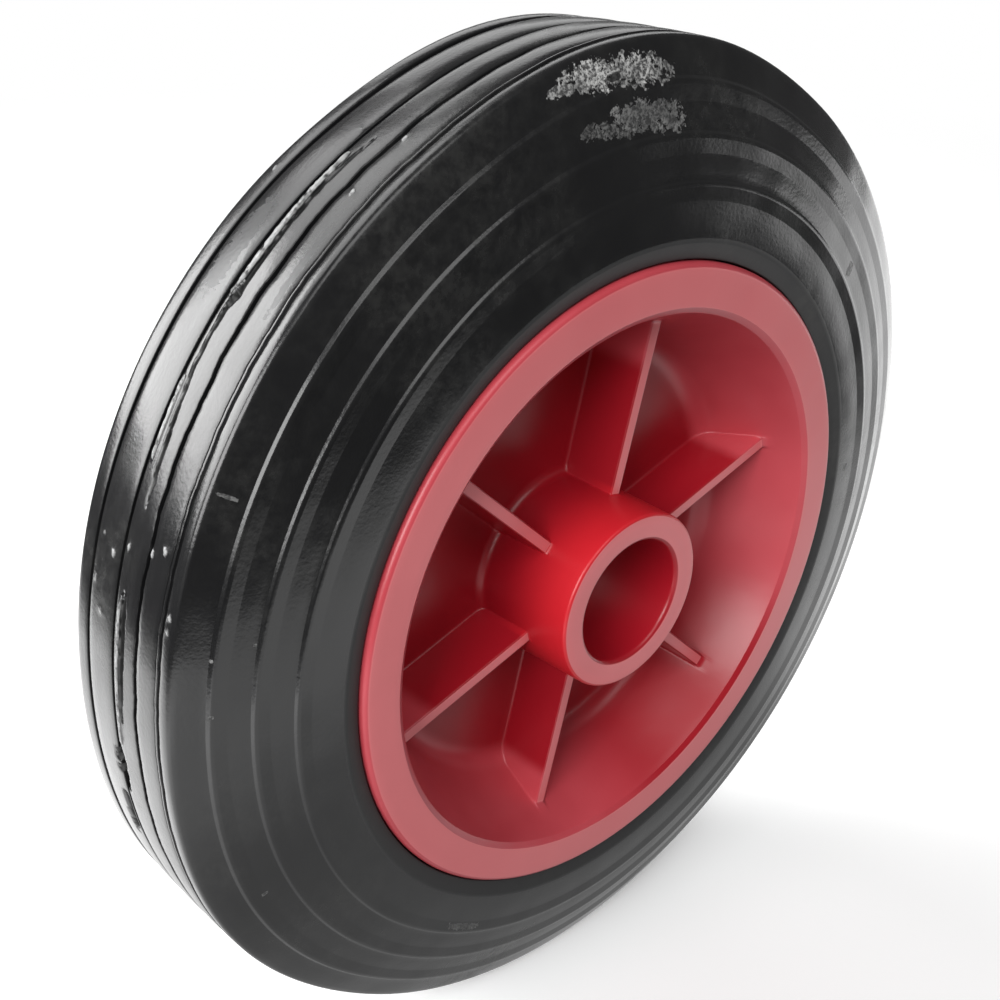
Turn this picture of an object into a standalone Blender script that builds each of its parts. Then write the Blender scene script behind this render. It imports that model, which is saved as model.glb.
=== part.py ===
"""Rubber trolley wheel: a solid rubber tyre seated in the channel of a one-piece moulded plastic centre.

Lengths are in metres. The axle runs along Y, the wheel stands upright on its tread,
and the origin is the middle of the wheel. The two sides are alike.
"""

import math

import bmesh
import bpy

# Tyre
TYRE_RADIUS = 0.0978
TYRE_WIDTH = 0.0452  # over the two bead lips
TREAD_WIDTH = 0.0286
SHOULDER_DROP = 0.0006  # how far the crowned tread falls from its middle to its shoulders
SHOULDER_ROUND = 0.0010
BEAD_FOOT_DEPTH = 0.0008  # how far the bead lip slopes down towards the rim
BEAD_LIP_WIDTH = 0.0029
BEAD_LIP_ROUND = 0.0007

# Sidewall, with raised rings that run round it
SIDEWALL_BULGE = 0.0017  # how far its middle stands out from the line between lip and shoulder
FIRST_RING_RADIUS = 0.0757
RING_PITCH = 0.0071
RING_WIDTH = 0.0016
RING_HEIGHT = 0.0006
RING_INNER_SLOPE = 0.0005  # the side towards the rim leans, the other side is steep
RING_OUTER_SLOPE = 0.00015
LAST_LAND_LEAST = 0.0030  # no ring lies nearer than this to the shoulder

# Tread grooves
OUTER_GROOVE_OFFSET = 0.0110  # from the middle of the tread to the middle of the groove
OUTER_GROOVE_WIDTH = 0.0018
INNER_GROOVE_OFFSET = 0.0029
INNER_GROOVE_WIDTH = 0.0022
GROOVE_DEPTH = 0.0022
GROOVE_TAPER = 0.0003  # how much each groove wall leans in towards the bottom

# Rim of the moulded centre
RIM_WIDTH = 0.046  # over the two flange faces
FLANGE_RADIUS = 0.064
FLANGE_THICKNESS = 0.0032
FLANGE_FACE_WIDTH = 0.0078
FLANGE_OUTER_ROUND = 0.0012
FLANGE_INNER_CHAMFER = 0.0008
DISH_FOOT_RADIUS = 0.0466  # where the sloping dish wall would meet the web
DISH_FOOT_ROUND = 0.003
RIM_WALL = 0.004

# Web, ribs and boss
WEB_THICKNESS = 0.005
RIB_COUNT = 6
RIB_THICKNESS = 0.0026
RIB_TOP_BELOW_FLANGE = 0.008
RIB_PHASE = math.radians(11.65)  # first rib, from straight up towards +X
HUB_LENGTH = 0.050
BOSS_RADIUS = 0.0182
BOSS_DRAFT = 0.0006  # how much wider the boss is at the web than at its end
BOSS_EDGE_ROUND = 0.0006
BOSS_FOOT_ROUND = 0.002
BORE_RADIUS = 0.0127
BORE_LEAD_ROUND = 0.001

# The tyre is drawn clear of the rim by this much.
SEAT_GAP = 0.0003
# Both pieces are turned with the same number of flats, so that their seats stay parallel.
FLATS = 60
ARC_STEP = math.radians(34)

# Names and finishes of the two pieces
TYRE_NAME = "tyre"
CENTRE_NAME = "wheel_centre"
TYRE_COLOUR = (0.018, 0.018, 0.019, 1.0)
TYRE_ROUGHNESS = 0.34
CENTRE_COLOUR = (0.62, 0.028, 0.040, 1.0)
CENTRE_ROUGHNESS = 0.36


def clear_scene():
    """Remove every object of the opening scene."""
    for old in list(bpy.data.objects):
        bpy.data.objects.remove(old, do_unlink=True)


def rounded_outline(corners):
    """Return the closed outline through (radius, y, rounding) corners, each rounded by an arc."""
    outline = []
    count = len(corners)
    for i in range(count):
        before, corner, after = corners[i - 1], corners[i], corners[(i + 1) % count]
        outline.extend(corner_points(before, corner, after))
    return outline


def corner_points(before, corner, after):
    """Return a sharp corner as one point, or a rounded one as the points of its arc."""
    radius, y, rounding = corner
    if rounding <= 0.0:
        return [(radius, y)]
    to_before = unit(before[0] - radius, before[1] - y)
    to_after = unit(after[0] - radius, after[1] - y)
    cosine = to_before[0] * to_after[0] + to_before[1] * to_after[1]
    half_angle = math.acos(max(-1.0, min(1.0, cosine))) / 2
    bisector = unit(to_before[0] + to_after[0], to_before[1] + to_after[1])
    reach = rounding / math.sin(half_angle)
    centre = (radius + bisector[0] * reach, y + bisector[1] * reach)
    tangent = rounding / math.tan(half_angle)
    start = (radius + to_before[0] * tangent, y + to_before[1] * tangent)
    end = (radius + to_after[0] * tangent, y + to_after[1] * tangent)
    angle_start = math.atan2(start[1] - centre[1], start[0] - centre[0])
    angle_end = math.atan2(end[1] - centre[1], end[0] - centre[0])
    turn = (angle_end - angle_start + math.pi) % math.tau - math.pi
    steps = max(1, round(abs(turn) / ARC_STEP))
    points = []
    for k in range(steps + 1):
        angle = angle_start + turn * k / steps
        points.append((centre[0] + rounding * math.cos(angle), centre[1] + rounding * math.sin(angle)))
    return points


def unit(x, y):
    """Return a flat vector at unit length."""
    length = math.hypot(x, y)
    return x / length, y / length


def mirrored(corners):
    """Return the corners of the other side of the wheel, in the order that closes the outline."""
    return [(radius, -y, rounding) for radius, y, rounding in reversed(corners)]


def finish(name, colour, roughness):
    """Return the material of one piece."""
    material = bpy.data.materials.new(name)
    material.use_nodes = True
    shader = material.node_tree.nodes["Principled BSDF"]
    shader.inputs["Base Color"].default_value = colour
    shader.inputs["Roughness"].default_value = roughness
    shader.inputs["Metallic"].default_value = 0.0
    material.diffuse_color = colour
    return material


def turned_solid(name, outline):
    """Turn a closed (radius, y) outline about the Y axis into one solid."""
    bm = bmesh.new()
    section = [bm.verts.new((0.0, y, radius)) for radius, y in outline]
    edges = [bm.edges.new((section[i - 1], section[i])) for i in range(len(section))]
    bmesh.ops.spin(
        bm,
        geom=section + edges,
        cent=(0.0, 0.0, 0.0),
        axis=(0.0, 1.0, 0.0),
        angle=math.tau,
        steps=FLATS,
        use_merge=True,
    )
    bmesh.ops.recalc_face_normals(bm, faces=bm.faces)
    return linked_object(name, bm)


def linked_object(name, bm):
    """Put a bmesh into a new object of the scene."""
    mesh = bpy.data.meshes.new(name)
    bm.to_mesh(mesh)
    bm.free()
    piece = bpy.data.objects.new(name, mesh)
    bpy.context.scene.collection.objects.link(piece)
    return piece


def shade(piece, material):
    """Give a piece its material, with smooth round faces and sharp edges kept."""
    piece.data.materials.clear()
    piece.data.materials.append(material)
    piece.data.shade_smooth()
    piece.data.set_sharp_from_angle(angle=math.radians(30))


def dish_radius(y):
    """Return the radius of the sloping dish wall at a distance y from the middle of the wheel."""
    top = RIM_WIDTH / 2
    foot = WEB_THICKNESS / 2
    top_radius = FLANGE_RADIUS - FLANGE_FACE_WIDTH - FLANGE_INNER_CHAMFER
    return DISH_FOOT_RADIUS + (top_radius - DISH_FOOT_RADIUS) * (y - foot) / (top - foot)


def channel_radius(y):
    """Return the radius of the tyre channel, which runs one wall thickness outside the dish wall."""
    slope = dish_radius(1.0) - dish_radius(0.0)
    return dish_radius(y) + RIM_WALL * math.hypot(1.0, slope)


def channel_side():
    """Return the distance from the middle of the wheel to the inner side of a flange."""
    return RIM_WIDTH / 2 - FLANGE_THICKNESS


def centre_side():
    """Return the section corners of one side of the moulded centre, from the bore to the channel."""
    end = HUB_LENGTH / 2
    floor = WEB_THICKNESS / 2
    face = RIM_WIDTH / 2
    chamfer = FLANGE_INNER_CHAMFER
    face_inner = FLANGE_RADIUS - FLANGE_FACE_WIDTH
    return [
        (BORE_RADIUS, end, BORE_LEAD_ROUND),
        (BOSS_RADIUS, end, BOSS_EDGE_ROUND),
        (BOSS_RADIUS + BOSS_DRAFT, floor, BOSS_FOOT_ROUND),
        (DISH_FOOT_RADIUS, floor, DISH_FOOT_ROUND),
        (dish_radius(face - chamfer), face - chamfer, 0.0),
        (face_inner, face, 0.0),
        (FLANGE_RADIUS, face, FLANGE_OUTER_ROUND),
        (FLANGE_RADIUS, channel_side(), 0.0),
        (channel_radius(channel_side()), channel_side(), 0.0),
        (channel_radius(floor), floor, 0.0),
    ]


def rib_slab(index):
    """Return one rib as a flat slab through the web, from inside the boss to inside the rim wall."""
    top = RIM_WIDTH / 2 - RIB_TOP_BELOW_FLANGE
    floor = WEB_THICKNESS / 2
    inner = (BORE_RADIUS + BOSS_RADIUS) / 2
    sink = RIM_WALL / 2
    side = [
        (inner, top),
        (dish_radius(top) + sink, top),
        (dish_radius(floor) + sink, floor),
    ]
    outline = side + [(radius, -y) for radius, y in reversed(side)]
    angle = RIB_PHASE + index * math.tau / RIB_COUNT
    along = (math.sin(angle), math.cos(angle))
    across = (math.cos(angle) * RIB_THICKNESS / 2, -math.sin(angle) * RIB_THICKNESS / 2)
    bm = bmesh.new()
    near = [
        bm.verts.new((radius * along[0] - across[0], y, radius * along[1] - across[1]))
        for radius, y in outline
    ]
    face = bm.faces.new(near)
    grown = bmesh.ops.extrude_face_region(bm, geom=[face])
    far = [item for item in grown["geom"] if isinstance(item, bmesh.types.BMVert)]
    bmesh.ops.translate(bm, verts=far, vec=(2 * across[0], 0.0, 2 * across[1]))
    bmesh.ops.recalc_face_normals(bm, faces=bm.faces)
    return linked_object("rib_slab_%d" % (index + 1), bm)


def fuse(body, slabs):
    """Union the slabs into the body, then remove them."""
    for slab in slabs:
        union = body.modifiers.new("union", "BOOLEAN")
        union.operation = "UNION"
        union.solver = "EXACT"
        union.object = slab
    bpy.context.view_layer.update()
    fused = bpy.data.meshes.new_from_object(
        body.evaluated_get(bpy.context.evaluated_depsgraph_get())
    )
    body.modifiers.clear()
    body.data = fused
    for slab in slabs:
        bpy.data.objects.remove(slab, do_unlink=True)


def make_centre():
    """Make the moulded plastic centre: flanges, channel, dished walls, web, ribs and bored boss."""
    side = centre_side()
    centre = turned_solid(CENTRE_NAME, rounded_outline(side + mirrored(side)))
    fuse(centre, [rib_slab(i) for i in range(RIB_COUNT)])
    shade(centre, finish("red_plastic", CENTRE_COLOUR, CENTRE_ROUGHNESS))
    return centre


def crown_radius(y):
    """Return the radius of the crowned tread at a distance y from its middle."""
    half = TREAD_WIDTH / 2
    bend = (half**2 + SHOULDER_DROP**2) / (2 * SHOULDER_DROP)
    return TYRE_RADIUS - bend + math.sqrt(bend**2 - y**2)


def groove(middle, width):
    """Return the corners of one tread groove, from its outer lip to the lip nearer the middle."""
    outer = middle + width / 2
    inner = middle - width / 2
    bottom = crown_radius(middle) - GROOVE_DEPTH
    return [
        (crown_radius(outer), outer, 0.0),
        (bottom, outer - GROOVE_TAPER, 0.0),
        (bottom, inner + GROOVE_TAPER, 0.0),
        (crown_radius(inner), inner, 0.0),
    ]


def foot_radius():
    """Return the radius of the tyre's side that faces the edge of the flange."""
    return FLANGE_RADIUS + SEAT_GAP


def lip_radius():
    """Return the radius of the bead lip's edge."""
    return foot_radius() + BEAD_LIP_WIDTH


def ring_radii(shoulder):
    """Return the radii at which the sidewall's raised rings start, from the rim out."""
    radii = []
    radius = FIRST_RING_RADIUS
    while radius <= shoulder - LAST_LAND_LEAST:
        radii.append(radius)
        radius += RING_PITCH
    return radii


def sidewall_y(radius):
    """Return how far out the bare sidewall stands at a radius: a line plus a parabola of its bulge."""
    inner = lip_radius()
    outer = crown_radius(TREAD_WIDTH / 2)
    part = (radius - inner) / (outer - inner)
    line = TYRE_WIDTH / 2 + (TREAD_WIDTH - TYRE_WIDTH) / 2 * part
    return line + 4 * SIDEWALL_BULGE * part * (1 - part)


def ring(radius):
    """Return the corners of one raised ring that starts at a radius."""
    outer = radius + RING_WIDTH
    crest_inner = radius + RING_INNER_SLOPE
    crest_outer = outer - RING_OUTER_SLOPE
    return [
        (radius, sidewall_y(radius), 0.0),
        (crest_inner, sidewall_y(crest_inner) + RING_HEIGHT, 0.0),
        (crest_outer, sidewall_y(crest_outer) + RING_HEIGHT, 0.0),
        (outer, sidewall_y(outer), 0.0),
    ]


def sidewall():
    """Return the corners of one sidewall with its raised rings, from the bead lip to the shoulder."""
    shoulder = crown_radius(TREAD_WIDTH / 2)
    corners = []
    last = lip_radius()
    for radius in ring_radii(shoulder):
        between = (last + radius) / 2
        corners.append((between, sidewall_y(between), 0.0))
        corners.extend(ring(radius))
        last = radius + RING_WIDTH
    between = (last + shoulder) / 2
    corners.append((between, sidewall_y(between), 0.0))
    corners.append((shoulder, TREAD_WIDTH / 2, SHOULDER_ROUND))
    return corners


def tyre_side():
    """Return the section corners of one side of the tyre, from its seat to the middle of the tread."""
    floor = WEB_THICKNESS / 2
    seat = channel_side() - SEAT_GAP
    foot = TYRE_WIDTH / 2 - BEAD_FOOT_DEPTH
    return [
        (channel_radius(floor) + SEAT_GAP, floor, 0.0),
        (channel_radius(channel_side()) + SEAT_GAP, seat, 0.0),
        (foot_radius(), seat, 0.0),
        (foot_radius(), foot, 0.0),
        (lip_radius(), TYRE_WIDTH / 2, BEAD_LIP_ROUND),
        *sidewall(),
        *groove(OUTER_GROOVE_OFFSET, OUTER_GROOVE_WIDTH),
        (crown_radius((OUTER_GROOVE_OFFSET + INNER_GROOVE_OFFSET) / 2),
         (OUTER_GROOVE_OFFSET + INNER_GROOVE_OFFSET) / 2, 0.0),
        *groove(INNER_GROOVE_OFFSET, INNER_GROOVE_WIDTH),
    ]


def make_tyre():
    """Make the solid rubber tyre: wedge foot, bead lips, ringed sidewalls and grooved tread."""
    side = tyre_side()
    tyre = turned_solid(TYRE_NAME, rounded_outline(side + mirrored(side)))
    shade(tyre, finish("black_rubber", TYRE_COLOUR, TYRE_ROUGHNESS))
    return tyre


def main():
    clear_scene()
    make_centre()
    make_tyre()


main()
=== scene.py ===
import math

import bpy
import numpy as np
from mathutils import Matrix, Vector


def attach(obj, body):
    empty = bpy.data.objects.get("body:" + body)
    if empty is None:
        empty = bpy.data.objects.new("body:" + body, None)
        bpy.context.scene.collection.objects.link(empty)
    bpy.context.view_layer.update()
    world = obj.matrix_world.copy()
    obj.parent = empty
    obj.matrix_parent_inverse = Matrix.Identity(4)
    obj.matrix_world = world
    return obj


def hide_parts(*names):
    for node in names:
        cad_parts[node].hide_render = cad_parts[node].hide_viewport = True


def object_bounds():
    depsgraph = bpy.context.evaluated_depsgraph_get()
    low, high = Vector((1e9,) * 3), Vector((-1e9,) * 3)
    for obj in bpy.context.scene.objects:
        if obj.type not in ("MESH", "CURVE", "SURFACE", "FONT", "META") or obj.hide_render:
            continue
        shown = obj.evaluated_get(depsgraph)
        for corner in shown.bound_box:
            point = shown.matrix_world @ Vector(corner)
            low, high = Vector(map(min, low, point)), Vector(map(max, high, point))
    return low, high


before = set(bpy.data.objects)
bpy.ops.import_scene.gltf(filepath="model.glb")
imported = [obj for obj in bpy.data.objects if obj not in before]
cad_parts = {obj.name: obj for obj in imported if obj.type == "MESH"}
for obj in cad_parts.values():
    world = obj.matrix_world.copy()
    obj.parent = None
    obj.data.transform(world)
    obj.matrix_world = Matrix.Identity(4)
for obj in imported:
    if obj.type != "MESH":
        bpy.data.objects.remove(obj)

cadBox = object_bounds()
mm = 0.001


# Outlines and grids

def roundedOutline(corners, arcStep=math.radians(12)):
    # Each corner (radius, y, rounding) becomes an arc about
    # corner + bisector * rounding / sin(half angle).
    outline = []
    for i, (radius, y, rounding) in enumerate(corners):
        corner = np.array([radius, y])
        if rounding <= 0.0:
            outline.append(corner)
            continue
        before = np.array(corners[i - 1][:2]) - corner
        after = np.array(corners[(i + 1) % len(corners)][:2]) - corner
        before = before / np.linalg.norm(before)
        after = after / np.linalg.norm(after)
        halfAngle = math.acos(np.clip(before @ after, -1, 1)) / 2
        bisector = (before + after) / np.linalg.norm(before + after)
        centre = corner + bisector * rounding / math.sin(halfAngle)
        tangent = rounding / math.tan(halfAngle)
        start = corner + before * tangent - centre
        end = corner + after * tangent - centre
        first = math.atan2(start[1], start[0])
        turn = (math.atan2(end[1], end[0]) - first + math.pi) % math.tau - math.pi
        steps = max(2, round(abs(turn) / arcStep))
        angles = first + turn * np.linspace(0, 1, steps + 1)
        arc = centre + rounding * np.stack([np.cos(angles), np.sin(angles)], axis=-1)
        outline.extend(arc)
    return np.array(outline)


def cutEvenly(outline, longest):
    # A closed outline, each stretch cut into equal parts no longer than longest(radius, y).
    parts = []
    for start, end in zip(outline, np.roll(outline, -1, axis=0)):
        middle = (start + end) / 2
        count = max(1, math.ceil(np.linalg.norm(end - start) / longest(*middle)))
        share = np.arange(count)[:, None] / count
        parts.append(start + (end - start) * share)
    return np.concatenate(parts)


def mirroredCorners(corners):
    # The same corners on the other side, y to -y, in the order that closes the outline.
    return [(radius, -y, rounding) for radius, y, rounding in reversed(corners)]


def wheelPoints(radius, y, angle):
    # (radius * sin(angle), y, radius * cos(angle)): the axle is Y, and angle 0 is straight up.
    return np.stack([radius * np.sin(angle), y, radius * np.cos(angle)], axis=-1)


waveValues = {
    "count": 6,
    "frequencyStep": 1.7,
    "frequencySpread": (0.8, 1.2),
    "heightStep": 1.35,
    "height": 2.2,
}


def waves(x, seed):
    # Smooth noise between about -1 and 1: a sum of sines, each of higher frequency and less
    # height than the last, at random phases.
    w = waveValues
    random = np.random.default_rng(seed)
    total = np.zeros_like(x)
    for k in range(w["count"]):
        frequency = w["frequencyStep"] ** k * random.uniform(*w["frequencySpread"])
        total += np.sin(x * frequency + random.uniform(0, math.tau)) / w["heightStep"] ** k
    return total / w["height"]


def softStep(x, start, end):
    # t * t * (3 - 2 * t), where t goes from 0 at start to 1 at end.
    t = np.clip((x - start) / (end - start), 0, 1)
    return t * t * (3 - 2 * t)


def between(x, start, end, edge):
    # 1 inside start..end, 0 outside, with an edge of the given width.
    half = edge / 2
    return softStep(x, start - half, start + half) * (1 - softStep(x, end - half, end + half))


def closedGrid(name, points):
    # points[row, column] is closed both ways, so the surface is one ring without a seam.
    rows, columns = points.shape[:2]
    row, column = np.meshgrid(np.arange(rows), np.arange(columns), indexing="ij")
    nextRow = (row + 1) % rows
    nextColumn = (column + 1) % columns
    quads = np.stack([
        row * columns + column,
        row * columns + nextColumn,
        nextRow * columns + nextColumn,
        nextRow * columns + column,
    ], axis=-1).reshape(-1, 4)
    flat = points.reshape(-1, 3)
    corners = flat[quads]
    normals = np.cross(corners[:, 2] - corners[:, 0], corners[:, 3] - corners[:, 1])
    volume = (corners.mean(axis=1) * normals).sum()
    if volume < 0:  # the faces point inwards, so they are turned round
        quads = quads[:, ::-1]
    return meshPiece(name, flat, quads)


def meshPiece(name, points, quads):
    # A smooth mesh from arrays of points and of four point numbers a face.
    mesh = bpy.data.meshes.new(name)
    mesh.vertices.add(len(points))
    mesh.vertices.foreach_set("co", points.astype(np.float32).ravel())
    mesh.loops.add(quads.size)
    mesh.loops.foreach_set("vertex_index", quads.astype(np.int32).ravel())
    mesh.polygons.add(len(quads))
    mesh.polygons.foreach_set("loop_start", np.arange(len(quads), dtype=np.int32) * quads.shape[1])
    mesh.update(calc_edges=True)
    mesh.validate()
    mesh.shade_smooth()
    piece = bpy.data.objects.new(name, mesh)
    bpy.context.scene.collection.objects.link(piece)
    return piece


# Rubber tyre

tyreValues = {
    "radius": 97.2 * mm,
    "width": 45.2 * mm,
    "treadWidth": 29.4 * mm,
    "shoulderDrop": 0.3 * mm,
    "shoulderRound": 0.9 * mm,
    # The foot lies in the centre's channel: a short straight wall, then a wedge down to its tip.
    "footRadius": 64.3 * mm,
    "footHalf": 19.5 * mm,
    "footWall": 4.2 * mm,
    "footRound": 0.3 * mm,
    "tipRadius": 51.0 * mm,
    "tipHalf": 2.5 * mm,
    "lipDrop": 0.8 * mm,
    "lipWidth": 2.9 * mm,
    "lipRound": 0.7 * mm,
    "bulge": 1.7 * mm,
    # Raised rings: where each starts, its slopes towards the rim and away, its corners' roundings.
    "ringRadii": (74.1 * mm, 81.3 * mm, 88.2 * mm),
    "ringWidth": 3.2 * mm,
    "ringHeight": 0.42 * mm,
    "ringSlopes": (2.2 * mm, 0.4 * mm),
    "ringRounds": (0.8 * mm, 0.5 * mm, 0.55 * mm, 0.15 * mm),
    # Grooves: middle, width, depth.
    "grooves": (
        (10.6 * mm, 0.8 * mm, 1.6 * mm),
        (2.1 * mm, 0.9 * mm, 2.2 * mm),
        (-5.0 * mm, 1.0 * mm, 2.0 * mm),
        (-11.0 * mm, 0.4 * mm, 0.4 * mm),
        (-12.0 * mm, 0.7 * mm, 1.0 * mm),
    ),
    "grooveTaper": 0.12 * mm,
    "grooveRound": 0.14 * mm,
    # The edges of a band this wide fall this far below its middle, on the tread outside a radius.
    "bandWidth": 8 * mm,
    "bandFall": 0.17 * mm,
    "bandRadius": 92 * mm,
    "roundBands": (-8, 32, 2.4),  # angle, reach and how much more they fall
    # Where the tyre is out of round: angle and height.
    "standOut": ((1, 2.0 * mm), (-114, 1.2 * mm)),
    "standOutReach": 31,
    "standOutRadii": (80 * mm, 96 * mm),
    # The grid: finer columns over the torn part, and the longest stretches of the outline.
    "fineAngles": (-112, -22),
    "fineColumns": 248,
    "otherColumns": 166,
    "arcStep": math.radians(28),
    "hiddenRadius": 66 * mm,
    "hiddenStretch": 7 * mm,
    "wallRadius": 94 * mm,
    "wallHalf": 14 * mm,
    "wallStretch": 2.2 * mm,
    "tornPart": (-2.0 * mm, 4.6 * mm),
    "tornStretch": 0.28 * mm,
    "treadStretch": 0.95 * mm,
}

wearValues = {
    # Cracks along the tread: (angle, y in mm, half width in mm) points and a depth.
    "cracks": (
        ((
            (-66, -1.3, 0.1), (-64, -1.3, 0.25), (-60, -1.0, 0.35), (-56, -0.5, 0.25),
            (-53, 0.1, 0.18), (-50, 0.3, 0.2), (-47, 0.2, 0.4), (-45.5, -0.1, 0.8),
            (-44, -0.6, 0.3), (-40, -0.7, 0.2), (-35, -0.5, 0.2), (-30, -0.8, 0.15),
            (-27, -1.1, 0.0),
        ), 1.6 * mm),
        ((
            (-89, -0.5, 0.1), (-86, -0.6, 0.4), (-82, -0.9, 0.5), (-77, -0.8, 0.5),
            (-75, -0.2, 0.1),
        ), 1.8 * mm),
        (((-98, 1.2, 0.4), (-96.5, 1.3, 1.1), (-94, 1.5, 1.2), (-92.3, 1.8, 0.5)), 1.9 * mm),
        (((-105.5, 4.2, 0.2), (-104, 4.0, 0.5), (-101.5, 3.8, 0.5), (-99, 3.2, 0.2)), 1.5 * mm),
    ),
    # Raised ragged lips: the same points and a height.
    "lips": (
        ((
            (-47, 0.7, 0.3), (-44, 0.4, 0.5), (-38, 0.3, 0.55), (-33, 0.5, 0.5),
            (-29, 0.6, 0.25),
        ), 0.45 * mm),
        (((-62, 0.9, 0.2), (-58, 0.9, 0.3), (-54, 1.2, 0.3)), 0.35 * mm),
        ((
            (-92, 0.5, 0.15), (-86, 0.4, 0.3), (-80, 0.2, 0.3), (-76.5, 0.5, 0.35),
            (-75.2, -0.6, 0.3),
        ), 0.35 * mm),
    ),
    "lipUneven": 0.2,
    "lipPace": (4.3, 2),  # per degree and per mm of y
    "lipStop": 0.3 * mm,  # no lip where a crack is deeper
    # Both kinds of line: how they wander, how their width changes, and their soft edges in mm.
    "lineWander": 0.13,
    "linePace": 1.1,
    "lineEnd": -0.3,
    "widthWander": 0.3,
    "widthPace": 3.1,
    "lineEdge": (0.12, 0.14),
    # Crumbs that stand on the tread: angle, y in mm.
    "crumbs": (
        (-71, 8.5), (-72.2, 4.7), (-70.7, 0.5), (-75.6, 9.2), (-78.5, 6.6), (-69.8, -5.5),
        (-68.9, -8.9), (-74.2, -13.2), (-75.6, -13.6), (-33.0, 12.8), (-26.0, 3.2),
        (-25.8, -6.4), (-33, -7.2),
    ),
    "crumbSize": 0.37,
    "crumbLength": 0.7,  # below 1 for crumbs longer along the tread
    "crumbHeight": 0.32 * mm,
    # Two grooves wander: from y, to y, soft edge, share, pace, seed.
    "wander": 0.25 * mm,
    "wanders": (
        (-7.2 * mm, -2.6 * mm, 1.5 * mm, 1.0, 0.45, 7),
        (-13.2 * mm, -10.0 * mm, 1 * mm, 0.6, 0.6, 8),
    ),
    # Wear stays on the tread, and fades out down in the grooves.
    "treadHalf": 14.2 * mm,
    "treadEdge": 0.8 * mm,
    "reachDown": 2.2 * mm,
    "fadeDown": 2.0 * mm,
    "crackSeed": 10,
    "lipSeed": 40,
    "unevenSeed": 50,
}


def crownRadius(y):
    # A circle through the middle of the tread and its two shoulders.
    v = tyreValues
    half = v["treadWidth"] / 2
    bend = (half ** 2 + v["shoulderDrop"] ** 2) / (2 * v["shoulderDrop"])
    return v["radius"] - bend + math.sqrt(bend ** 2 - y ** 2)


def sidewallY(radius):
    # A straight line from the lip to the shoulder plus 4 * bulge * t * (1 - t).
    v = tyreValues
    inner = v["footRadius"] + v["lipWidth"]
    outer = crownRadius(v["treadWidth"] / 2)
    t = (radius - inner) / (outer - inner)
    line = v["width"] / 2 + (v["treadWidth"] - v["width"]) / 2 * t
    return line + 4 * v["bulge"] * t * (1 - t)


def plainCorners(start, end):
    # Three points on the plain sidewall between two radii, at a quarter, a half and three quarters.
    radii = [start + (end - start) * share for share in (0.25, 0.5, 0.75)]
    return [(radius, sidewallY(radius), 0.0) for radius in radii]


def sidewallCorners():
    # From the lip out to the shoulder: plain stretches, and four corners for each raised ring.
    v = tyreValues
    shoulder = crownRadius(v["treadWidth"] / 2)
    innerSlope, outerSlope = v["ringSlopes"]
    heights = (0.0, v["ringHeight"], v["ringHeight"], 0.0)
    corners = []
    last = v["footRadius"] + v["lipWidth"]
    for inner in v["ringRadii"]:
        outer = inner + v["ringWidth"]
        radii = (inner, inner + innerSlope, outer - outerSlope, outer)
        corners += plainCorners(last, inner)
        for radius, height, rounding in zip(radii, heights, v["ringRounds"]):
            corners.append((radius, sidewallY(radius) + height, rounding))
        last = outer
    corners += plainCorners(last, shoulder)
    corners.append((shoulder, v["treadWidth"] / 2, v["shoulderRound"]))
    return corners


def grooveCorners(middle, width, depth):
    # Down from the crown and up again, with walls that lean in by the taper.
    v = tyreValues
    outer = middle + width / 2
    inner = middle - width / 2
    bottom = crownRadius(middle) - depth
    return [
        (crownRadius(outer), outer, v["grooveRound"]),
        (bottom, outer - v["grooveTaper"], 0.0),
        (bottom, inner + v["grooveTaper"], 0.0),
        (crownRadius(inner), inner, v["grooveRound"]),
    ]


def tyreStretch(radius, y):
    # Longest stretch of the outline: finest where the tread is torn, coarse where the rim hides it.
    v = tyreValues
    tornFrom, tornTo = v["tornPart"]
    if radius < v["hiddenRadius"]:
        return v["hiddenStretch"]
    if radius < v["wallRadius"] or abs(y) > v["wallHalf"]:
        return v["wallStretch"]
    if tornFrom < y < tornTo:
        return v["tornStretch"]
    return v["treadStretch"]


def tyreAngles():
    # Once round, in radians, with closer columns between the fine angles.
    v = tyreValues
    start, end = v["fineAngles"]
    fine = np.linspace(start, end, v["fineColumns"], endpoint=False)
    other = np.linspace(end, start + 360, v["otherColumns"], endpoint=False)
    return np.radians(np.concatenate([fine, other]))


def swell(degrees, middle, reach):
    # cos(90 * distance / reach) ** 2 within reach of an angle, and 0 beyond it.
    distance = np.clip(np.abs((degrees - middle + 180) % 360 - 180) / reach, 0, 1)
    return np.cos(distance * math.pi / 2) ** 2


def standOut(degrees):
    # How far the tyre stands out of round: height * swell about each angle.
    v = tyreValues
    reach = v["standOutReach"]
    return sum(height * swell(degrees, middle, reach) for middle, height in v["standOut"])


def bandFall(y):
    # Each band between two grooves is a little round:
    # it falls by bandFall * width / bandWidth * (distance from its middle / half width) ** 3.
    v = tyreValues
    half = v["treadWidth"] / 2
    edges = [half]
    for middle, width, _ in v["grooves"]:
        edges += [middle + width / 2, middle - width / 2]
    edges.append(-half)
    places, falls = [], []
    share = np.linspace(-1, 1, 13)
    for outer, inner in zip(edges[::2], edges[1::2]):
        places.append((outer + inner) / 2 - share * (outer - inner) / 2)
        falls.append(v["bandFall"] * (outer - inner) / v["bandWidth"] * np.abs(share) ** 3)
    places = np.concatenate(places)[::-1]
    falls = np.concatenate(falls)[::-1]
    return np.interp(y, places, falls)


def bandShare(degrees):
    # 1 round most of the tyre, and 1 + extra * swell near the top, where the bands are rounder.
    middle, reach, extra = tyreValues["roundBands"]
    return 1 + extra * swell(degrees, middle, reach)


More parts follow.
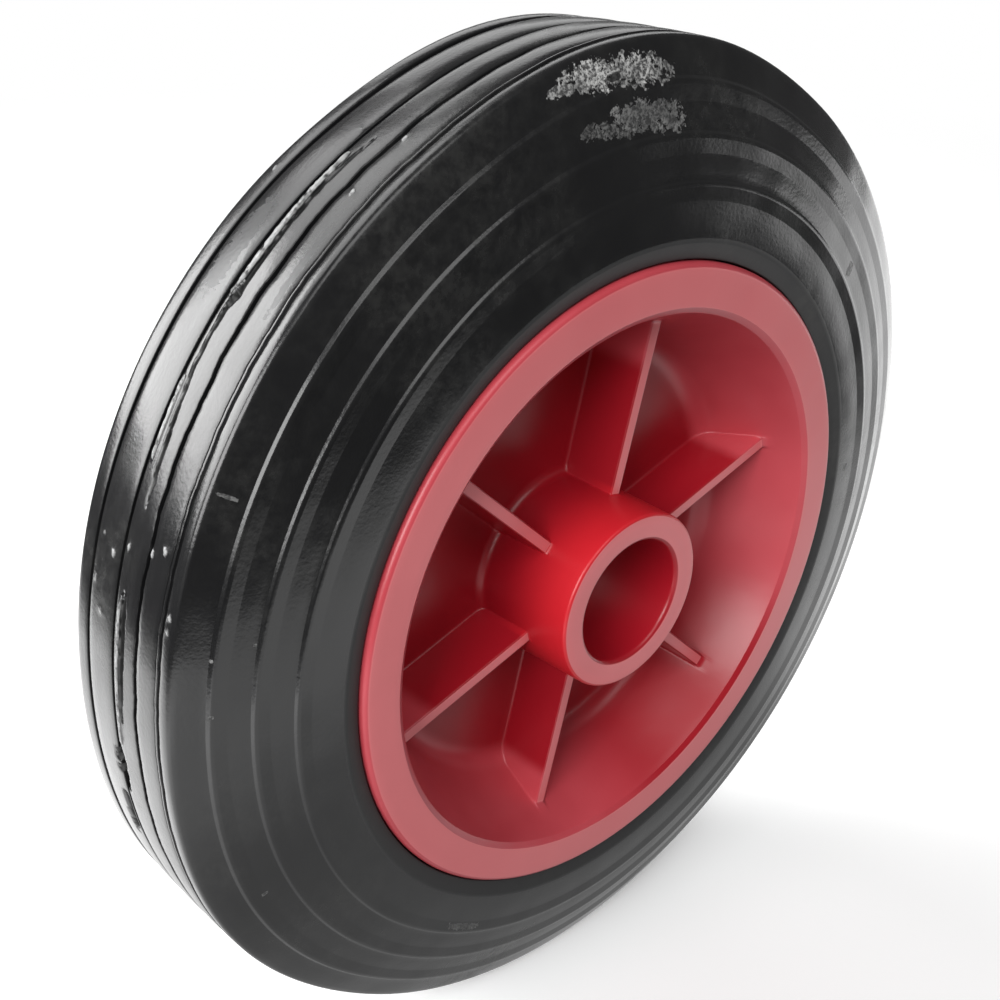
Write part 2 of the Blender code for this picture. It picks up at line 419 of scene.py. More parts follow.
def raggedLine(degrees, y, points, seed):
    # 1 on a thin uneven line along the tread through (angle, y, half width) points, 0 beside it.
    w = wearValues
    inside, outside = w["lineEdge"]
    angles, middles, halves = np.array(points).T
    path = np.interp(degrees, angles, middles)
    path = path + w["lineWander"] * waves(degrees * w["linePace"], seed)
    half = np.interp(degrees, angles, halves, left=w["lineEnd"], right=w["lineEnd"])
    half = half * (1 + w["widthWander"] * waves(degrees * w["widthPace"], seed + 1))
    return 1 - softStep(np.abs(y / mm - path), half - inside, half + outside)


def treadWear(degrees, y):
    # How much the torn tread is lowered at each point, in metres; below 0 where a lip stands up.
    w = wearValues
    lowered = np.zeros_like(y)
    for i, (points, depth) in enumerate(w["cracks"]):
        crack = raggedLine(degrees, y, points, w["crackSeed"] + 3 * i)
        lowered = np.maximum(lowered, depth * crack)
    roundPace, acrossPace = w["lipPace"]
    for i, (points, height) in enumerate(w["lips"]):
        uneven = waves(degrees * roundPace + y / mm * acrossPace, w["unevenSeed"] + i)
        uneven = 1 + w["lipUneven"] * uneven
        lip = raggedLine(degrees, y, points, w["lipSeed"] + 3 * i)
        lowered = np.where(lowered < w["lipStop"], lowered - height * uneven * lip, lowered)
    for angle, middle in w["crumbs"]:
        along = (degrees - angle) * tyreValues["radius"] / mm * math.pi / 180
        distance = (along * w["crumbLength"]) ** 2 + (y / mm - middle) ** 2
        lowered = lowered - w["crumbHeight"] * np.exp(-distance / w["crumbSize"] ** 2)
    return lowered


def tyreOutline():
    # The section of the whole tyre: one side, the grooved tread and the other side.
    v = tyreValues
    foot = v["footRadius"]
    side = [
        (v["tipRadius"], v["tipHalf"], 0.0),
        (foot - v["footWall"], v["footHalf"], 0.0),
        (foot, v["footHalf"], v["footRound"]),
        (foot, v["width"] / 2 - v["lipDrop"], v["footRound"]),
        (foot + v["lipWidth"], v["width"] / 2, v["lipRound"]),
        *sidewallCorners(),
    ]
    tread = [corner for groove in v["grooves"] for corner in grooveCorners(*groove)]
    outline = roundedOutline(side + tread + mirroredCorners(side), v["arcStep"])
    return cutEvenly(outline, tyreStretch)


def makeTyre():
    # The section carried round the axle, less the wear and the bands' fall, plus the stand-out.
    v = tyreValues
    w = wearValues
    outline = tyreOutline()
    profileRadius = outline[:, :1]
    profileY = outline[:, 1:]
    angle = tyreAngles()[None, :]
    degrees = np.degrees(angle) + 0 * profileRadius
    y = profileY + 0 * degrees

    outerPart = profileRadius > v["bandRadius"]
    onTread = between(profileY, -w["treadHalf"], w["treadHalf"], w["treadEdge"]) * outerPart
    aboveGrooves = profileRadius - crownRadius(0) + w["reachDown"]
    topShare = np.clip(aboveGrooves / w["fadeDown"], 0, 1)
    wear = onTread * topShare * treadWear(degrees, y)
    lowered = wear + bandFall(y) * bandShare(degrees) * outerPart
    wander = w["wander"] * sum(
        share * between(y, start, end, edge) * waves(degrees * pace, seed)
        for start, end, edge, share, pace, seed in w["wanders"])
    outward = softStep(profileRadius, *v["standOutRadii"]) * standOut(degrees)
    radius = profileRadius - lowered + outward
    points = wheelPoints(radius, y + wander * onTread, angle + 0 * radius)
    tyre = closedGrid("tyre_moulded", points)
    # The rubber reads how deep it is torn, in mm: above 0 in a crack, below 0 on a lip.
    torn = tyre.data.attributes.new("wear", "FLOAT", "POINT")
    torn.data.foreach_set("value", (wear / mm).astype(np.float32).ravel())
    print("tyre: %d outline points, %d faces" % (len(outline), len(tyre.data.polygons)))
    return tyre


# Plastic centre

centreValues = {
    "rimWidth": 46 * mm,
    "flangeRadius": 64 * mm,
    "flangeFace": 7.8 * mm,
    "flangeThickness": 3.2 * mm,
    "flangeRound": 1.2 * mm,
    "flangeChamfer": 0.8 * mm,
    "dishFoot": 46.6 * mm,
    "dishRound": 5.0 * mm,
    "web": 5.0 * mm,
    "channelDepth": 4.35 * mm,
    "hubLength": 50 * mm,
    "bossRadius": 18.2 * mm,
    "bossDraft": 0.6 * mm,
    "bossRound": 0.7 * mm,
    "bossFoot": 2.0 * mm,
    "boreRadius": 12.7 * mm,
    "boreRound": 1.0 * mm,
    "ribTop": 15.0 * mm,
    "ribHalf": 1.3 * mm,
    "ribDraft": 0.15 * mm,
    "ribRound": 0.35 * mm,
    "ribFillet": 0.6 * mm,
    "ribPhase": math.radians(11.65),
    "ribs": 6,
    "ribFlat": 0.45,  # a column between the middle and the edge of a rib's top
    "ribArc": 4,
    "columnsBetween": 18,
    "longest": 1.8 * mm,
    "edgeRound": 0.3 * mm,
    "channelRound": 0.2 * mm,
    "hairline": 0.1 * mm,
}


def dishRadius(y):
    # A straight wall from the dish's foot, at the web, to the flange's chamfer, at the face.
    v = centreValues
    top = v["rimWidth"] / 2
    foot = v["web"] / 2
    topRadius = v["flangeRadius"] - v["flangeFace"] - v["flangeChamfer"]
    return v["dishFoot"] + (topRadius - v["dishFoot"]) * (y - foot) / (top - foot)


def centreCorners():
    # One side, from the bore over the boss, web, dish and flange to the channel.
    v = centreValues
    end = v["hubLength"] / 2
    floor = v["web"] / 2
    face = v["rimWidth"] / 2
    inside = face - v["flangeThickness"]
    chamfer = face - v["flangeChamfer"]
    return [
        (v["boreRadius"], end, v["boreRound"]),
        (v["bossRadius"], end, v["bossRound"]),
        (v["bossRadius"] + v["bossDraft"], floor, v["bossFoot"]),
        (v["dishFoot"], floor, v["dishRound"]),
        (dishRadius(chamfer), chamfer, v["edgeRound"]),
        (v["flangeRadius"] - v["flangeFace"], face, v["edgeRound"]),
        (v["flangeRadius"], face, v["flangeRound"]),
        (v["flangeRadius"], inside, v["channelRound"]),
        (dishRadius(inside) + v["channelDepth"], inside, v["channelRound"]),
        (dishRadius(floor) + v["channelDepth"], floor, 0.0),
    ]


def ribSection():
    # One rib across, as columns: the distance from its middle, how far it lies below the crest,
    # how far above the floor, and 1 where it belongs to the crest and 0 where to the foot.
    v = centreValues
    quarter = np.linspace(0, math.pi / 2, v["ribArc"])
    flat = np.array([0.0, v["ribHalf"] * v["ribFlat"]])
    crestAcross = v["ribHalf"] - v["ribRound"] * (1 - np.sin(quarter))
    crestHeight = -v["ribRound"] * (1 - np.cos(quarter))
    footMiddle = v["ribHalf"] + v["ribDraft"] + v["ribFillet"]
    footAcross = footMiddle - v["ribFillet"] * np.cos(quarter)
    footHeight = v["ribFillet"] * (1 - np.sin(quarter))
    crestCount = len(flat) + len(quarter)
    across = np.concatenate([flat, crestAcross, footAcross])
    fromTop = np.concatenate([np.zeros(len(flat)), crestHeight, np.zeros(len(quarter))])
    fromFloor = np.concatenate([np.zeros(crestCount), footHeight])
    onTop = np.concatenate([np.ones(crestCount), np.zeros(len(quarter))])
    # The other half is the same backwards, without a second middle column.
    across = np.concatenate([-across[:0:-1], across])
    others = [np.concatenate([half[:0:-1], half]) for half in (fromTop, fromFloor, onTop)]
    return across, *others


def makeCentre():
    # The section carried round the axle; in the open dish, the ribs' columns are lifted off it.
    v = centreValues
    side = centreCorners()
    outline = roundedOutline(side + mirroredCorners(side))
    outline = cutEvenly(outline, lambda radius, y: v["longest"])
    profileRadius = outline[:, :1]
    profileY = outline[:, 1:]
    insideDish = profileRadius < dishRadius(np.abs(profileY)) + v["hairline"]
    openSide = insideDish & (profileRadius > v["bossRadius"] - v["hairline"])
    rise = np.where(openSide, np.clip(v["ribTop"] - np.abs(profileY), 0, None), 0)
    across, fromTop, fromFloor, onTop = ribSection()
    crest = np.clip(rise + fromTop, 0, None)
    height = np.where(onTop > 0, crest, np.minimum(fromFloor, rise))

    pitch = math.tau / v["ribs"]
    share = (np.arange(v["columnsBetween"]) + 1) / (v["columnsBetween"] + 1)
    columnsAngle = []
    columnsHeight = []
    for rib in range(v["ribs"]):
        ribAngle = v["ribPhase"] + rib * pitch
        ribColumns = ribAngle + np.arcsin(across[None, :] / profileRadius)
        start = ribColumns[:, -1:]
        end = ribAngle + pitch + np.arcsin(across[:1] / profileRadius)
        columnsAngle += [ribColumns, start + (end - start) * share]
        columnsHeight += [height, np.zeros((len(outline), v["columnsBetween"]))]
    angle = np.concatenate(columnsAngle, axis=1)
    lift = np.concatenate(columnsHeight, axis=1)
    y = profileY + np.sign(profileY) * lift
    radius = np.broadcast_to(profileRadius, y.shape)
    centre = closedGrid("wheel_centre_moulded", wheelPoints(radius, y, angle))
    print("centre: %d outline points, %d faces" % (len(outline), len(centre.data.polygons)))
    return centre


# Materials

def newMaterial(name):
    # A material, its tree and its Principled shader.
    material = bpy.data.materials.new(name)
    material.use_nodes = True
    tree = material.node_tree
    return material, tree, tree.nodes["Principled BSDF"]


def put(tree, socket, value):
    # A socket is linked, and a plain value is set.
    if isinstance(value, bpy.types.NodeSocket):
        tree.links.new(value, socket)
    else:
        socket.default_value = value


def calc(tree, operation, *values, clamp=False):
    node = tree.nodes.new("ShaderNodeMath")
    node.operation = operation
    node.use_clamp = clamp
    for socket, value in zip(node.inputs, values):
        put(tree, socket, value)
    return node.outputs[0]


def product(tree, *values):
    # All the values multiplied together, one after the other.
    total = values[0]
    for value in values[1:]:
        total = calc(tree, "MULTIPLY", total, value)
    return total


def without(tree, mask):
    # 1 - mask.
    return calc(tree, "SUBTRACT", 1.0, mask)


def rampUp(tree, value, start, end):
    # Smoothly 0 to 1 while the value goes from start to end.
    node = tree.nodes.new("ShaderNodeMapRange")
    node.interpolation_type = "SMOOTHSTEP"
    for name, entry in (("Value", value), ("From Min", start), ("From Max", end)):
        put(tree, node.inputs[name], entry)
    return node.outputs["Result"]


def mixed(tree, kind, factor, first, second):
    # first * (1 - factor) + second * factor.
    node = tree.nodes.new("ShaderNodeMix")
    node.data_type = kind
    put(tree, node.inputs["Factor"], factor)
    put(tree, node.inputs["A"], first)
    put(tree, node.inputs["B"], second)
    return node.outputs["Result"]


def blend(tree, factor, first, second):
    return mixed(tree, "RGBA", factor, first, second)  # for colours


def slide(tree, factor, first, second):
    return mixed(tree, "FLOAT", factor, first, second)  # for numbers


def grain(tree, place, perMetre, detail=3.0, roughness=0.55):
    node = tree.nodes.new("ShaderNodeTexNoise")
    put(tree, node.inputs["Vector"], place)
    node.inputs["Scale"].default_value = perMetre
    node.inputs["Detail"].default_value = detail
    node.inputs["Roughness"].default_value = roughness
    return node.outputs["Fac"]


def bumped(tree, height, depth, normal=None):
    # The normal, tilted by a height of that many metres, over another normal if there is one.
    node = tree.nodes.new("ShaderNodeBump")
    node.inputs["Distance"].default_value = depth
    put(tree, node.inputs["Height"], height)
    if normal is not None:
        put(tree, node.inputs["Normal"], normal)
    return node.outputs["Normal"]


def splitPlace(tree, place):
    node = tree.nodes.new("ShaderNodeSeparateXYZ")
    put(tree, node.inputs[0], place)
    return node.outputs


def objectPlace(tree):
    return tree.nodes.new("ShaderNodeTexCoord").outputs["Object"]


def rootOfSquares(tree, first, second):
    # The root of first ** 2 + second ** 2.
    square = calc(tree, "ADD", product(tree, first, first), product(tree, second, second))
    return calc(tree, "SQRT", square)


def wheelPlaceGroup():
    # Object coordinates as angle in degrees from straight up, radius in mm and y in mm.
    group = bpy.data.node_groups.new("wheel_place", "ShaderNodeTree")
    for name in ("Angle", "Radius", "Along"):
        group.interface.new_socket(name, in_out="OUTPUT", socket_type="NodeSocketFloat")
    group.interface.new_socket("Place", in_out="OUTPUT", socket_type="NodeSocketVector")
    output = group.nodes.new("NodeGroupOutput").inputs
    place = objectPlace(group)
    x, y, z = splitPlace(group, place)
    degrees = product(group, calc(group, "ARCTAN2", x, z), 180 / math.pi)
    put(group, output["Angle"], degrees)
    put(group, output["Radius"], product(group, rootOfSquares(group, x, z), 1 / mm))
    put(group, output["Along"], product(group, y, 1 / mm))
    put(group, output["Place"], place)
    return group


def patchGroup():
    # 1 inside an oval patch with a ragged edge: a soft step over
    # 1 - (across / half) ** 4 - (up / half) ** 2 + noise.
    group = bpy.data.node_groups.new("ragged_patch", "ShaderNodeTree")
    names = ("Across", "Up", "Across Middle", "Up Middle", "Across Half", "Up Half", "Noise")
    for name in names:
        group.interface.new_socket(name, in_out="INPUT", socket_type="NodeSocketFloat")
    group.interface.new_socket("Mask", in_out="OUTPUT", socket_type="NodeSocketFloat")
    entry = group.nodes.new("NodeGroupInput").outputs
    output = group.nodes.new("NodeGroupOutput")
    away = []
    for name in ("Across", "Up"):
        fromMiddle = calc(group, "SUBTRACT", entry[name], entry[name + " Middle"])
        away.append(calc(group, "DIVIDE", fromMiddle, entry[name + " Half"]))
    across, up = away
    across = calc(group, "POWER", calc(group, "ABSOLUTE", across), 4.0)
    inside = without(group, calc(group, "ADD", across, product(group, up, up)))
    level = calc(group, "ADD", inside, entry["Noise"])
    put(group, output.inputs["Mask"], rampUp(group, level, -0.1, 0.35))
    return group


def useGroup(tree, group, values=()):
    # values: pairs of a socket's name and what goes into it.
    node = tree.nodes.new("ShaderNodeGroup")
    node.node_tree = group
    for name, value in values:
        put(tree, node.inputs[name], value)
    return node.outputs


def patchMask(tree, patch, across, up, oval, noise):
    # oval: its middle across and up, then its half sizes across and up.
    names = ("Across Middle", "Up Middle", "Across Half", "Up Half")
    places = (("Across", across), ("Up", up), ("Noise", noise))
    return useGroup(tree, patch, (*places, *zip(names, oval)))["Mask"]


rubberValues = {
    "black": (0.0075, 0.0075, 0.0080, 1),
    "film": (0.026, 0.026, 0.025, 1),
    "scuffDark": (0.055, 0.055, 0.055, 1),
    "scuffPale": (0.55, 0.55, 0.54, 1),
    "torn": (0.30, 0.30, 0.30, 1),
    # painted shade: the cracks a little blacker than the rubber
    "crack": (0.004, 0.004, 0.004, 1),
    "specular": 0.55,
    "gloss": 0.20,
    "filmGloss": 0.38,
    "tornGloss": 0.32,
    "scuffGloss": 0.85,
    "crackGloss": 1.0,
    "lipGloss": 0.62,
    "cloudGloss": 0.33,
    "streakGloss": 0.26,
    # Noises, in cycles a metre.
    "cloudScale": 38,
    "mottleScale": 420,
    "fineScale": 1500,
    "edgeScale": 800,
    "patchyScale": 230,
    "waveScale": 70,
    # Depths of the bumps, in metres.
    "waveDepth": 0.00035,
    "poreDepth": 0.00002,
    "scratchDepth": 0.00022,
    # Where masks go from 0 to 1, over the noises, the wear in mm, and y or radius in mm.
    "filmClouds": (0.42, 0.72),
    "filmMottle": (0.2, 0.9),
    "tornWear": (-0.04, -0.2),
    "tornMottle": (0.3, 0.6),
    "crackWear": (0.1, 0.5),
    "offFront": (-15.1, -14.6),
    "onTread": (94.0, 95.0),
    "onCrown": (95.0, 96.0),
    "onLip": (68.2, 67.4),
    # Dull clouds on the tread: angle, y in mm, half angle, half width.
    "clouds": (
        (-41.6, 7.0, 5.6, 2.4),
        (-41.5, -9.1, 5.0, 0.8),
    ),
    # Scuffs: angle, radius, half angle, half radius, strength, fall of radius per degree.
    "scuffs": (
        (-4.3, 94.8, 6.9, 2.1, 1.0, 0.13),
        (-11.0, 94.8, 2.6, 0.8, 0.7, 0.13),
        (-1.2, 87.7, 5.3, 2.2, 0.5, 0.22),
        (-7.0, 87.3, 4.2, 1.2, 0.26, 0.22),
        (-149.5, 75.2, 4.0, 0.8, 0.20, 0.0),
        (49.0, 79.5, 0.7, 1.6, 0.35, 0.0),
        (84.3, 71.1, 0.6, 0.8, 0.35, 0.0),
        (-78.0, 91.2, 0.25, 0.3, 0.5, 0.0),
        (-76.2, 84.8, 0.25, 0.3, 0.5, 0.0),
        (-84.3, 90.8, 0.2, 0.35, 0.45, 0.0),
        (-111.1, 88.9, 0.3, 0.6, 0.5, 0.0),
        (-61.9, 94.2, 0.2, 1.5, 0.5, 0.0),
    ),
    "hole": (-5.2, 94.2, 0.95, 0.62),
    "holeDark": 0.9,
    # How ragged the edges of scuffs, the hole and clouds are.
    "scuffNoise": 5.2,
    "holeNoise": 0.3,
    "cloudNoise": 0.6,
    "speckles": (0.38, 0.62),
    "patchy": (0.38, 0.62),
    "patchyLeast": 0.45,
    # Streaks along the tread.
    "streakPace": 0.12,
    "streakScale": 1.1,
    "streaks": (0.42, 0.70),
    "streakShare": 0.7,
}


def scuffMask(tree, patch, angle, radius, along, edge):
    # The largest of all the scuffs, less the hole in the first, on the front sidewall only.
    v = rubberValues
    scuffed = 0.0
    for *oval, strength, fall in v["scuffs"]:
        tilted = calc(tree, "MULTIPLY_ADD", calc(tree, "SUBTRACT", angle, oval[0]), fall, radius)
        mask = patchMask(tree, patch, angle, tilted, oval, edge)
        scuffed = calc(tree, "MAXIMUM", scuffed, product(tree, mask, strength))
    hole = patchMask(tree, patch, angle, radius, v["hole"], product(tree, edge, v["holeNoise"]))
    front = without(tree, rampUp(tree, along, *v["offFront"]))
    return product(tree, scuffed, front, without(tree, product(tree, hole, v["holeDark"])))


def cloudMask(tree, patch, angle, radius, along, edge):
    # The larger of the dull clouds, on the tread only.
    v = rubberValues
    clouded = 0.0
    for oval in v["clouds"]:
        noise = product(tree, edge, v["cloudNoise"])
        clouded = calc(tree, "MAXIMUM", clouded, patchMask(tree, patch, angle, along, oval, noise))
    return product(tree, clouded, rampUp(tree, radius, *v["onTread"]))


def streakMask(tree, angle, radius, along):
    # Long streaks where the tyre has rolled: noise over a slow angle and y.
    v = rubberValues
    rolled = tree.nodes.new("ShaderNodeCombineXYZ")
    put(tree, rolled.inputs[0], product(tree, angle, v["streakPace"]))
    put(tree, rolled.inputs[1], along)
    streaks = grain(tree, rolled.outputs[0], v["streakScale"], 2.0, 0.6)
    streaks = rampUp(tree, streaks, *v["streaks"])
    return product(tree, streaks, rampUp(tree, radius, *v["onCrown"]), v["streakShare"])


def rubberMaterial(wheelPlace, patch):
    v = rubberValues
    material, tree, shader = newMaterial("black_rubber")
    wheel = useGroup(tree, wheelPlace)
    angle, radius, along, place = wheel["Angle"], wheel["Radius"], wheel["Along"], wheel["Place"]
    cloud = grain(tree, place, v["cloudScale"])
    mottle = grain(tree, place, v["mottleScale"], 2.0, 0.7)
    fine = grain(tree, place, v["fineScale"], 1.0, 0.6)
    speckle = grain(tree, place, v["fineScale"], 2.0, 0.75)
    ragged = grain(tree, place, v["edgeScale"], 2.0, 0.75)
    edge = product(tree, calc(tree, "SUBTRACT", ragged, 0.5), v["scuffNoise"])

    scuffed = scuffMask(tree, patch, angle, radius, along, edge)
    clouded = cloudMask(tree, patch, angle, radius, along, edge)
    streaked = streakMask(tree, angle, radius, along)
    # The lips and crumbs of torn rubber are grey; the cracks are dull inside and the rubber's black
    # without its film, painted a little blacker still, a painted shade in the cracks.
    wearNode = tree.nodes.new("ShaderNodeAttribute")
    wearNode.attribute_name = "wear"
    wear = wearNode.outputs["Fac"]
    torn = rampUp(tree, wear, *v["tornWear"])
    torn = product(tree, torn, rampUp(tree, mottle, *v["tornMottle"]))
    crack = rampUp(tree, wear, *v["crackWear"])

    film = rampUp(tree, cloud, *v["filmClouds"])
    film = product(tree, film, rampUp(tree, mottle, *v["filmMottle"]))
    patchy = rampUp(tree, grain(tree, place, v["patchyScale"], 1.0), *v["patchy"])
    patchy = slide(tree, patchy, v["patchyLeast"], 1.0)
    pale = product(tree, rampUp(tree, speckle, *v["speckles"]), patchy)
    colour = blend(tree, film, v["black"], v["film"])
    colour = blend(tree, scuffed, colour, blend(tree, pale, v["scuffDark"], v["scuffPale"]))
    colour = blend(tree, torn, colour, v["torn"])
    colour = blend(tree, crack, colour, v["crack"])
    put(tree, shader.inputs["Base Color"], colour)

    onLip = rampUp(tree, radius, *v["onLip"])  # the bead lip beside the rim is dull
    gloss = v["gloss"]
    for mask, name in (
            (film, "filmGloss"), (torn, "tornGloss"), (scuffed, "scuffGloss"),
            (crack, "crackGloss"), (onLip, "lipGloss"), (clouded, "cloudGloss"),
            (streaked, "streakGloss")):
        gloss = slide(tree, mask, gloss, v[name])
    put(tree, shader.inputs["Roughness"], gloss)
    shader.inputs["Specular IOR Level"].default_value = v["specular"]

    scratched = product(tree, speckle, calc(tree, "MAXIMUM", scuffed, torn))
    normal = bumped(tree, grain(tree, place, v["waveScale"], 1.0), v["waveDepth"])
    normal = bumped(tree, fine, v["poreDepth"], normal)
    normal = bumped(tree, scratched, v["scratchDepth"], normal)
    put(tree, shader.inputs["Normal"], normal)
    print("rubber: %d nodes" % len(tree.nodes))
    return material


plasticValues = {
    "red": (0.36, 0.007, 0.016, 1),
    # painted light: the lit end of the boss
    "boss": (0.62, 0.016, 0.026, 1),
    # painted sheen, partly rubbed wear: the pale of the flat faces
    "pale": (0.82, 0.20, 0.215, 1),
    "dirt": (0.16, 0.02, 0.02, 1),
    "paler": (0.58, 0.070, 0.090, 1),
    "gloss": 0.34,
    "paleGloss": 0.38,
    # Noises in cycles a metre, and the depths of their bumps in metres.
    "cloudScale": 60,
    "mottleScale": 500,
    "flowDepth": 0.0002,
    "grainDepth": 0.000015,
    # Painted sheen, partly rubbed wear: pale on faces square to the axle, and above the ribs' tops
    # in mm.
    "facing": (0.93, 0.99),
    "proud": (13.5, 14.8),
    "sheenAndRubbedClouds": (0.8, 1.05),
    # Paler: the dish outside a radius in mm, and away from the angle of the lower right.
    "dishFrom": (42.0, 46.0),
    "reddestAngle": 142.0,
    "palerTurn": (14.0, 40.0),
    "palerClouds": (0.6, 1.2),
    # Painted light: the boss brighter between two radii, towards its lit ends, all in mm.
    "bossOutside": (20.5, 19.5),
    "bossInside": (15.5, 16.5),
    "bossLitEnds": (7.0, 22.0),
    "nick": (159.4, 63.7, 0.9, 0.7),
    "nickDark": 0.8,
}


def plasticMaterial(wheelPlace, patch):
    v = plasticValues
    material, tree, shader = newMaterial("red_plastic")
    wheel = useGroup(tree, wheelPlace)
    angle, radius, place = wheel["Angle"], wheel["Radius"], wheel["Place"]
    fromMiddle = calc(tree, "ABSOLUTE", wheel["Along"])
    cloud = grain(tree, place, v["cloudScale"], 2.0)
    mottle = grain(tree, place, v["mottleScale"], 2.0, 0.6)

    # Painted sheen, partly rubbed wear: faces square to the axle and proud of the ribs are made
    # pale, for the broad sheen on them.
    normal = splitPlace(tree, tree.nodes.new("ShaderNodeNewGeometry").outputs["Normal"])
    facing = rampUp(tree, calc(tree, "ABSOLUTE", normal[1]), *v["facing"])
    sheenAndRubbed = product(tree, facing, rampUp(tree, fromMiddle, *v["proud"]))
    clouds = slide(tree, cloud, *v["sheenAndRubbedClouds"])
    sheenAndRubbed = calc(tree, "MULTIPLY", sheenAndRubbed, clouds, clamp=True)

    turned = calc(tree, "ABSOLUTE", calc(tree, "SUBTRACT", angle, v["reddestAngle"]))
    paler = rampUp(tree, radius, *v["dishFrom"])
    paler = product(tree, paler, rampUp(tree, turned, *v["palerTurn"]))
    clouds = slide(tree, cloud, *v["palerClouds"])
    paler = calc(tree, "MULTIPLY", paler, clouds, clamp=True)

    # Painted light: the boss's side is brighter towards its end, where it is lit, and the deeper
    # red down to the web, where it is in shade.
    boss = rampUp(tree, radius, *v["bossOutside"])
    boss = product(tree, boss, rampUp(tree, radius, *v["bossInside"]))
    boss = product(tree, boss, rampUp(tree, fromMiddle, *v["bossLitEnds"]))

    nick = patchMask(tree, patch, angle, radius, v["nick"], calc(tree, "SUBTRACT", mottle, 0.5))
    nick = product(tree, nick, v["nickDark"])

    colour = v["red"]
    for mask, name in ((paler, "paler"), (boss, "boss"), (sheenAndRubbed, "pale"), (nick, "dirt")):
        colour = blend(tree, mask, colour, v[name])
    put(tree, shader.inputs["Base Color"], colour)
    put(tree, shader.inputs["Roughness"], slide(tree, sheenAndRubbed, v["gloss"], v["paleGloss"]))
    flow = bumped(tree, cloud, v["flowDepth"])
    put(tree, shader.inputs["Normal"], bumped(tree, mottle, v["grainDepth"], flow))
    print("plastic: %d nodes" % len(tree.nodes))
    return material


# Floor, light and camera

floorValues = {
    "size": 4.0,
    "pale": 0.86,
    "dull": 0.9,
    "lift": 0.22,
    # How bright the floor looks in reflections: under the wheel, in the open round it, to the
    # left, to the right and far away.
    "underShine": 0.6,
    "openShine": 1.4,
    "leftShine": 3.0,
    "rightShine": 2.1,
    "farShine": 0.10,
    # Where one goes over into the next, in metres from under the wheel.
    "openReach": (0.10, 0.19),
    "farReach": (0.32, 0.41),
    "leftLean": (0.75, 0.66),  # left is along y * first - x * second
    "leftReach": (0.02, 0.20),
    "leftSide": (-0.14, -0.26),
    "rightLean": 1.3,  # right is along x + y * this
    "rightReach": (0.10, 0.32),
    "rightSide": (0.10, 0.25),
    # How much light it throws back, and where it fades into the white behind it.
    "bounce": 0.22,
    "fadeReach": (0.30, 1.10),
}


def floorShine(tree, x, y, reach):
    # In the wheel's own reflections the floor is a bright sheet that ends a short way off.
    v = floorValues
    alongLeft, acrossLeft = v["leftLean"]
    left = calc(tree, "SUBTRACT", product(tree, y, alongLeft), product(tree, x, acrossLeft))
    left = rampUp(tree, left, *v["leftReach"])
    left = calc(tree, "MAXIMUM", left, rampUp(tree, x, *v["leftSide"]))
    right = calc(tree, "MULTIPLY_ADD", y, v["rightLean"], x)
    right = rampUp(tree, right, *v["rightReach"])
    right = product(tree, right, rampUp(tree, x, *v["rightSide"]))
    shine = rampUp(tree, reach, *v["openReach"])
    shine = slide(tree, shine, v["underShine"], v["openShine"])
    shine = slide(tree, left, shine, v["leftShine"])
    shine = slide(tree, rampUp(tree, reach, *v["farReach"]), shine, v["farShine"])
    return slide(tree, right, shine, v["rightShine"])


def mixShaders(tree, factor, first, second):
    node = tree.nodes.new("ShaderNodeMixShader")
    for socket, value in zip(node.inputs, (factor, first.outputs[0], second.outputs[0])):
        put(tree, socket, value)
    return node


def makeFloor(height):
    v = floorValues
    corners = np.array([[x, y, height] for x, y in ((-1, -1), (1, -1), (1, 1), (-1, 1))])
    corners[:, :2] *= v["size"]
    floor = meshPiece("studio_floor", corners, np.array([[0, 1, 2, 3]]))
    material, tree, shader = newMaterial("pale_floor")
    material.cycles.emission_sampling = "NONE"
    shader.inputs["Base Color"].default_value = (v["pale"], v["pale"], v["pale"], 1)
    shader.inputs["Roughness"].default_value = v["dull"]
    shader.inputs["Emission Color"].default_value = (1, 1, 1, 1)
    shader.inputs["Emission Strength"].default_value = v["lift"]
    x, y, _ = splitPlace(tree, objectPlace(tree))
    reach = rootOfSquares(tree, x, y)
    path = tree.nodes.new("ShaderNodeLightPath").outputs
    glow = tree.nodes.new("ShaderNodeEmission")
    strength = slide(tree, path["Is Glossy Ray"], v["bounce"], floorShine(tree, x, y, reach))
    put(tree, glow.inputs["Strength"], strength)
    white = tree.nodes.new("ShaderNodeEmission")
    seen = mixShaders(tree, rampUp(tree, reach, *v["fadeReach"]), shader, white)
    reflected = calc(tree, "MAXIMUM", path["Is Glossy Ray"], path["Is Diffuse Ray"])
    surface = mixShaders(tree, reflected, seen, glow)
    put(tree, tree.nodes["Material Output"].inputs["Surface"], surface.outputs[0])
    floor.data.materials.append(material)
    print("floor: at %.1f mm" % (height / mm))


worldValues = {"camera": 1.0, "around": 0.10, "reflected": 0.14}


def makeWorld():
    # White to the camera, and dim to everything else.
    v = worldValues
    world = bpy.data.worlds.new("studio")
    world.use_nodes = True
    tree = world.node_tree
    path = tree.nodes.new("ShaderNodeLightPath").outputs
    strength = slide(tree, path["Is Glossy Ray"], v["around"], v["reflected"])
    strength = slide(tree, path["Is Camera Ray"], strength, v["camera"])
    background = tree.nodes["Background"]
    background.inputs["Color"].default_value = (1, 1, 1, 1)
    put(tree, background.inputs["Strength"], strength)
    bpy.context.scene.world = world


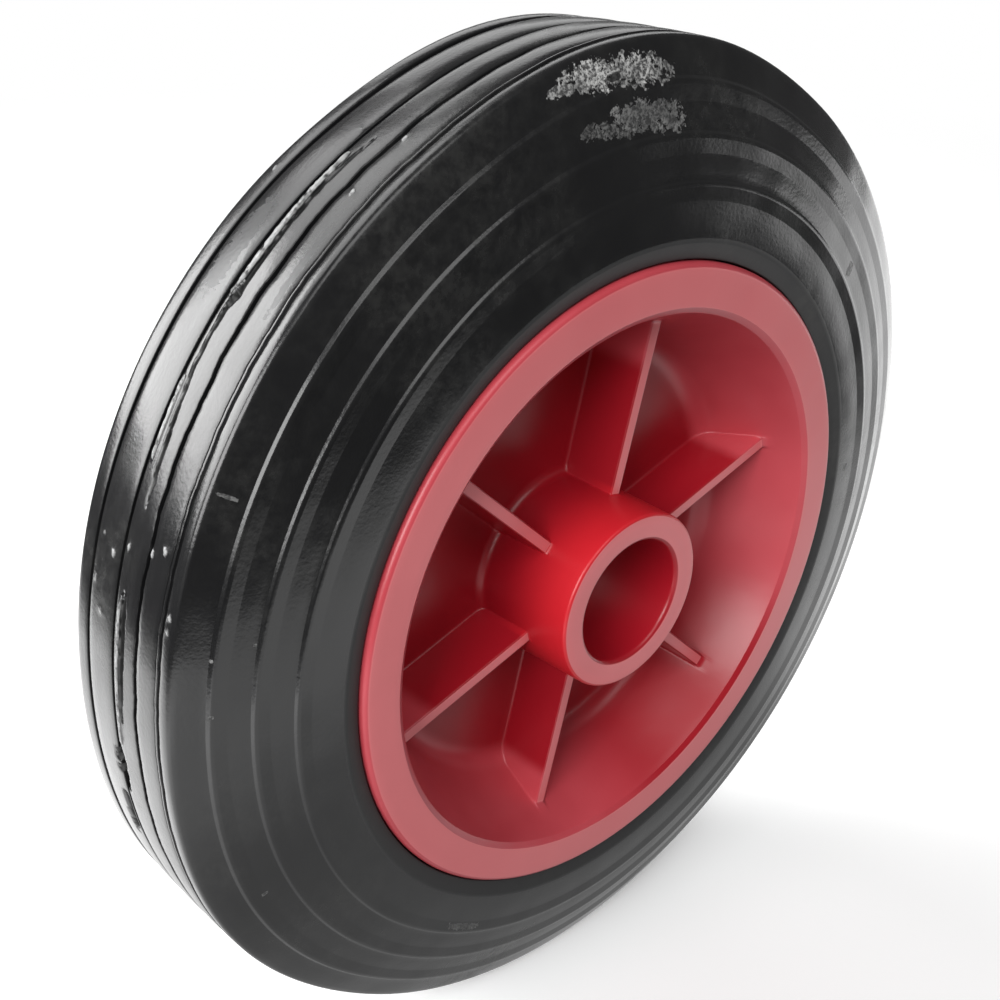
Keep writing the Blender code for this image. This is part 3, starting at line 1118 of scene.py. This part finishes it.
lightValues = (
    # Name, place, size, watts and share of diffuse light. Each faces the wheel's centre.
    ("window_behind_left", (-0.93, 1.10, 0.67), (1.25, 0.92), 32, 0.08),
    ("window_above", (-0.25, 1.05, 1.30), (1.20, 0.80), 9, 0.30),
    ("window_right", (0.95, 1.00, 0.78), (1.10, 0.70), 3.2, 0.2),
    ("window_left", (-1.36, -0.36, 0.70), (1.15, 0.90), 29, 1.0),
    ("front_fill", (-0.30, -0.80, 1.20), (0.8, 0.8), 6, 1.0),
)


def makeLights():
    for name, place, size, watts, diffuse in lightValues:
        light = bpy.data.lights.new(name, "AREA")
        light.shape = "RECTANGLE"
        light.size, light.size_y = size
        light.energy = watts
        light.diffuse_factor = diffuse
        lamp = bpy.data.objects.new(name, light)
        bpy.context.scene.collection.objects.link(lamp)
        lamp.location = place
        lamp.rotation_euler = (-Vector(place)).to_track_quat("-Z", "Y").to_euler()
    print("lights: %d" % len(lightValues))


cameraValues = {
    "place": (-175.51 * mm, -167.92 * mm, 130.61 * mm),
    "turn": (56.757, -0.149, -39.109),
    "focalPixels": 1330,
    "principal": (395, 665),
    "picture": 1000,
    "sensor": 36,
    "nearest": 10 * mm,
}


def makeCamera():
    # Lens = focal length in pixels / picture * sensor; the shifts put the lens's axis off centre.
    v = cameraValues
    camera = bpy.data.cameras.new("camera")
    camera.sensor_width = v["sensor"]
    camera.lens = v["focalPixels"] / v["picture"] * v["sensor"]
    camera.shift_x = 0.5 - v["principal"][0] / v["picture"]
    camera.shift_y = v["principal"][1] / v["picture"] - 0.5
    camera.clip_start = v["nearest"]
    holder = bpy.data.objects.new("camera", camera)
    bpy.context.scene.collection.objects.link(holder)
    holder.location = v["place"]
    holder.rotation_euler = [math.radians(angle) for angle in v["turn"]]
    bpy.context.scene.camera = holder
    print("camera: %.1f mm lens" % camera.lens)


makeCamera()

wheelPlace = wheelPlaceGroup()
patch = patchGroup()

tyre = makeTyre()
tyre.data.materials.append(rubberMaterial(wheelPlace, patch))
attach(tyre, "root")
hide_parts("tyre")

centre = makeCentre()
centre.data.materials.append(plasticMaterial(wheelPlace, patch))
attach(centre, "root")
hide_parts("wheel_centre")

makeFloor(cadBox[0][2])
makeWorld()
makeLights()
bpy.context.scene.view_settings.view_transform = "Standard"
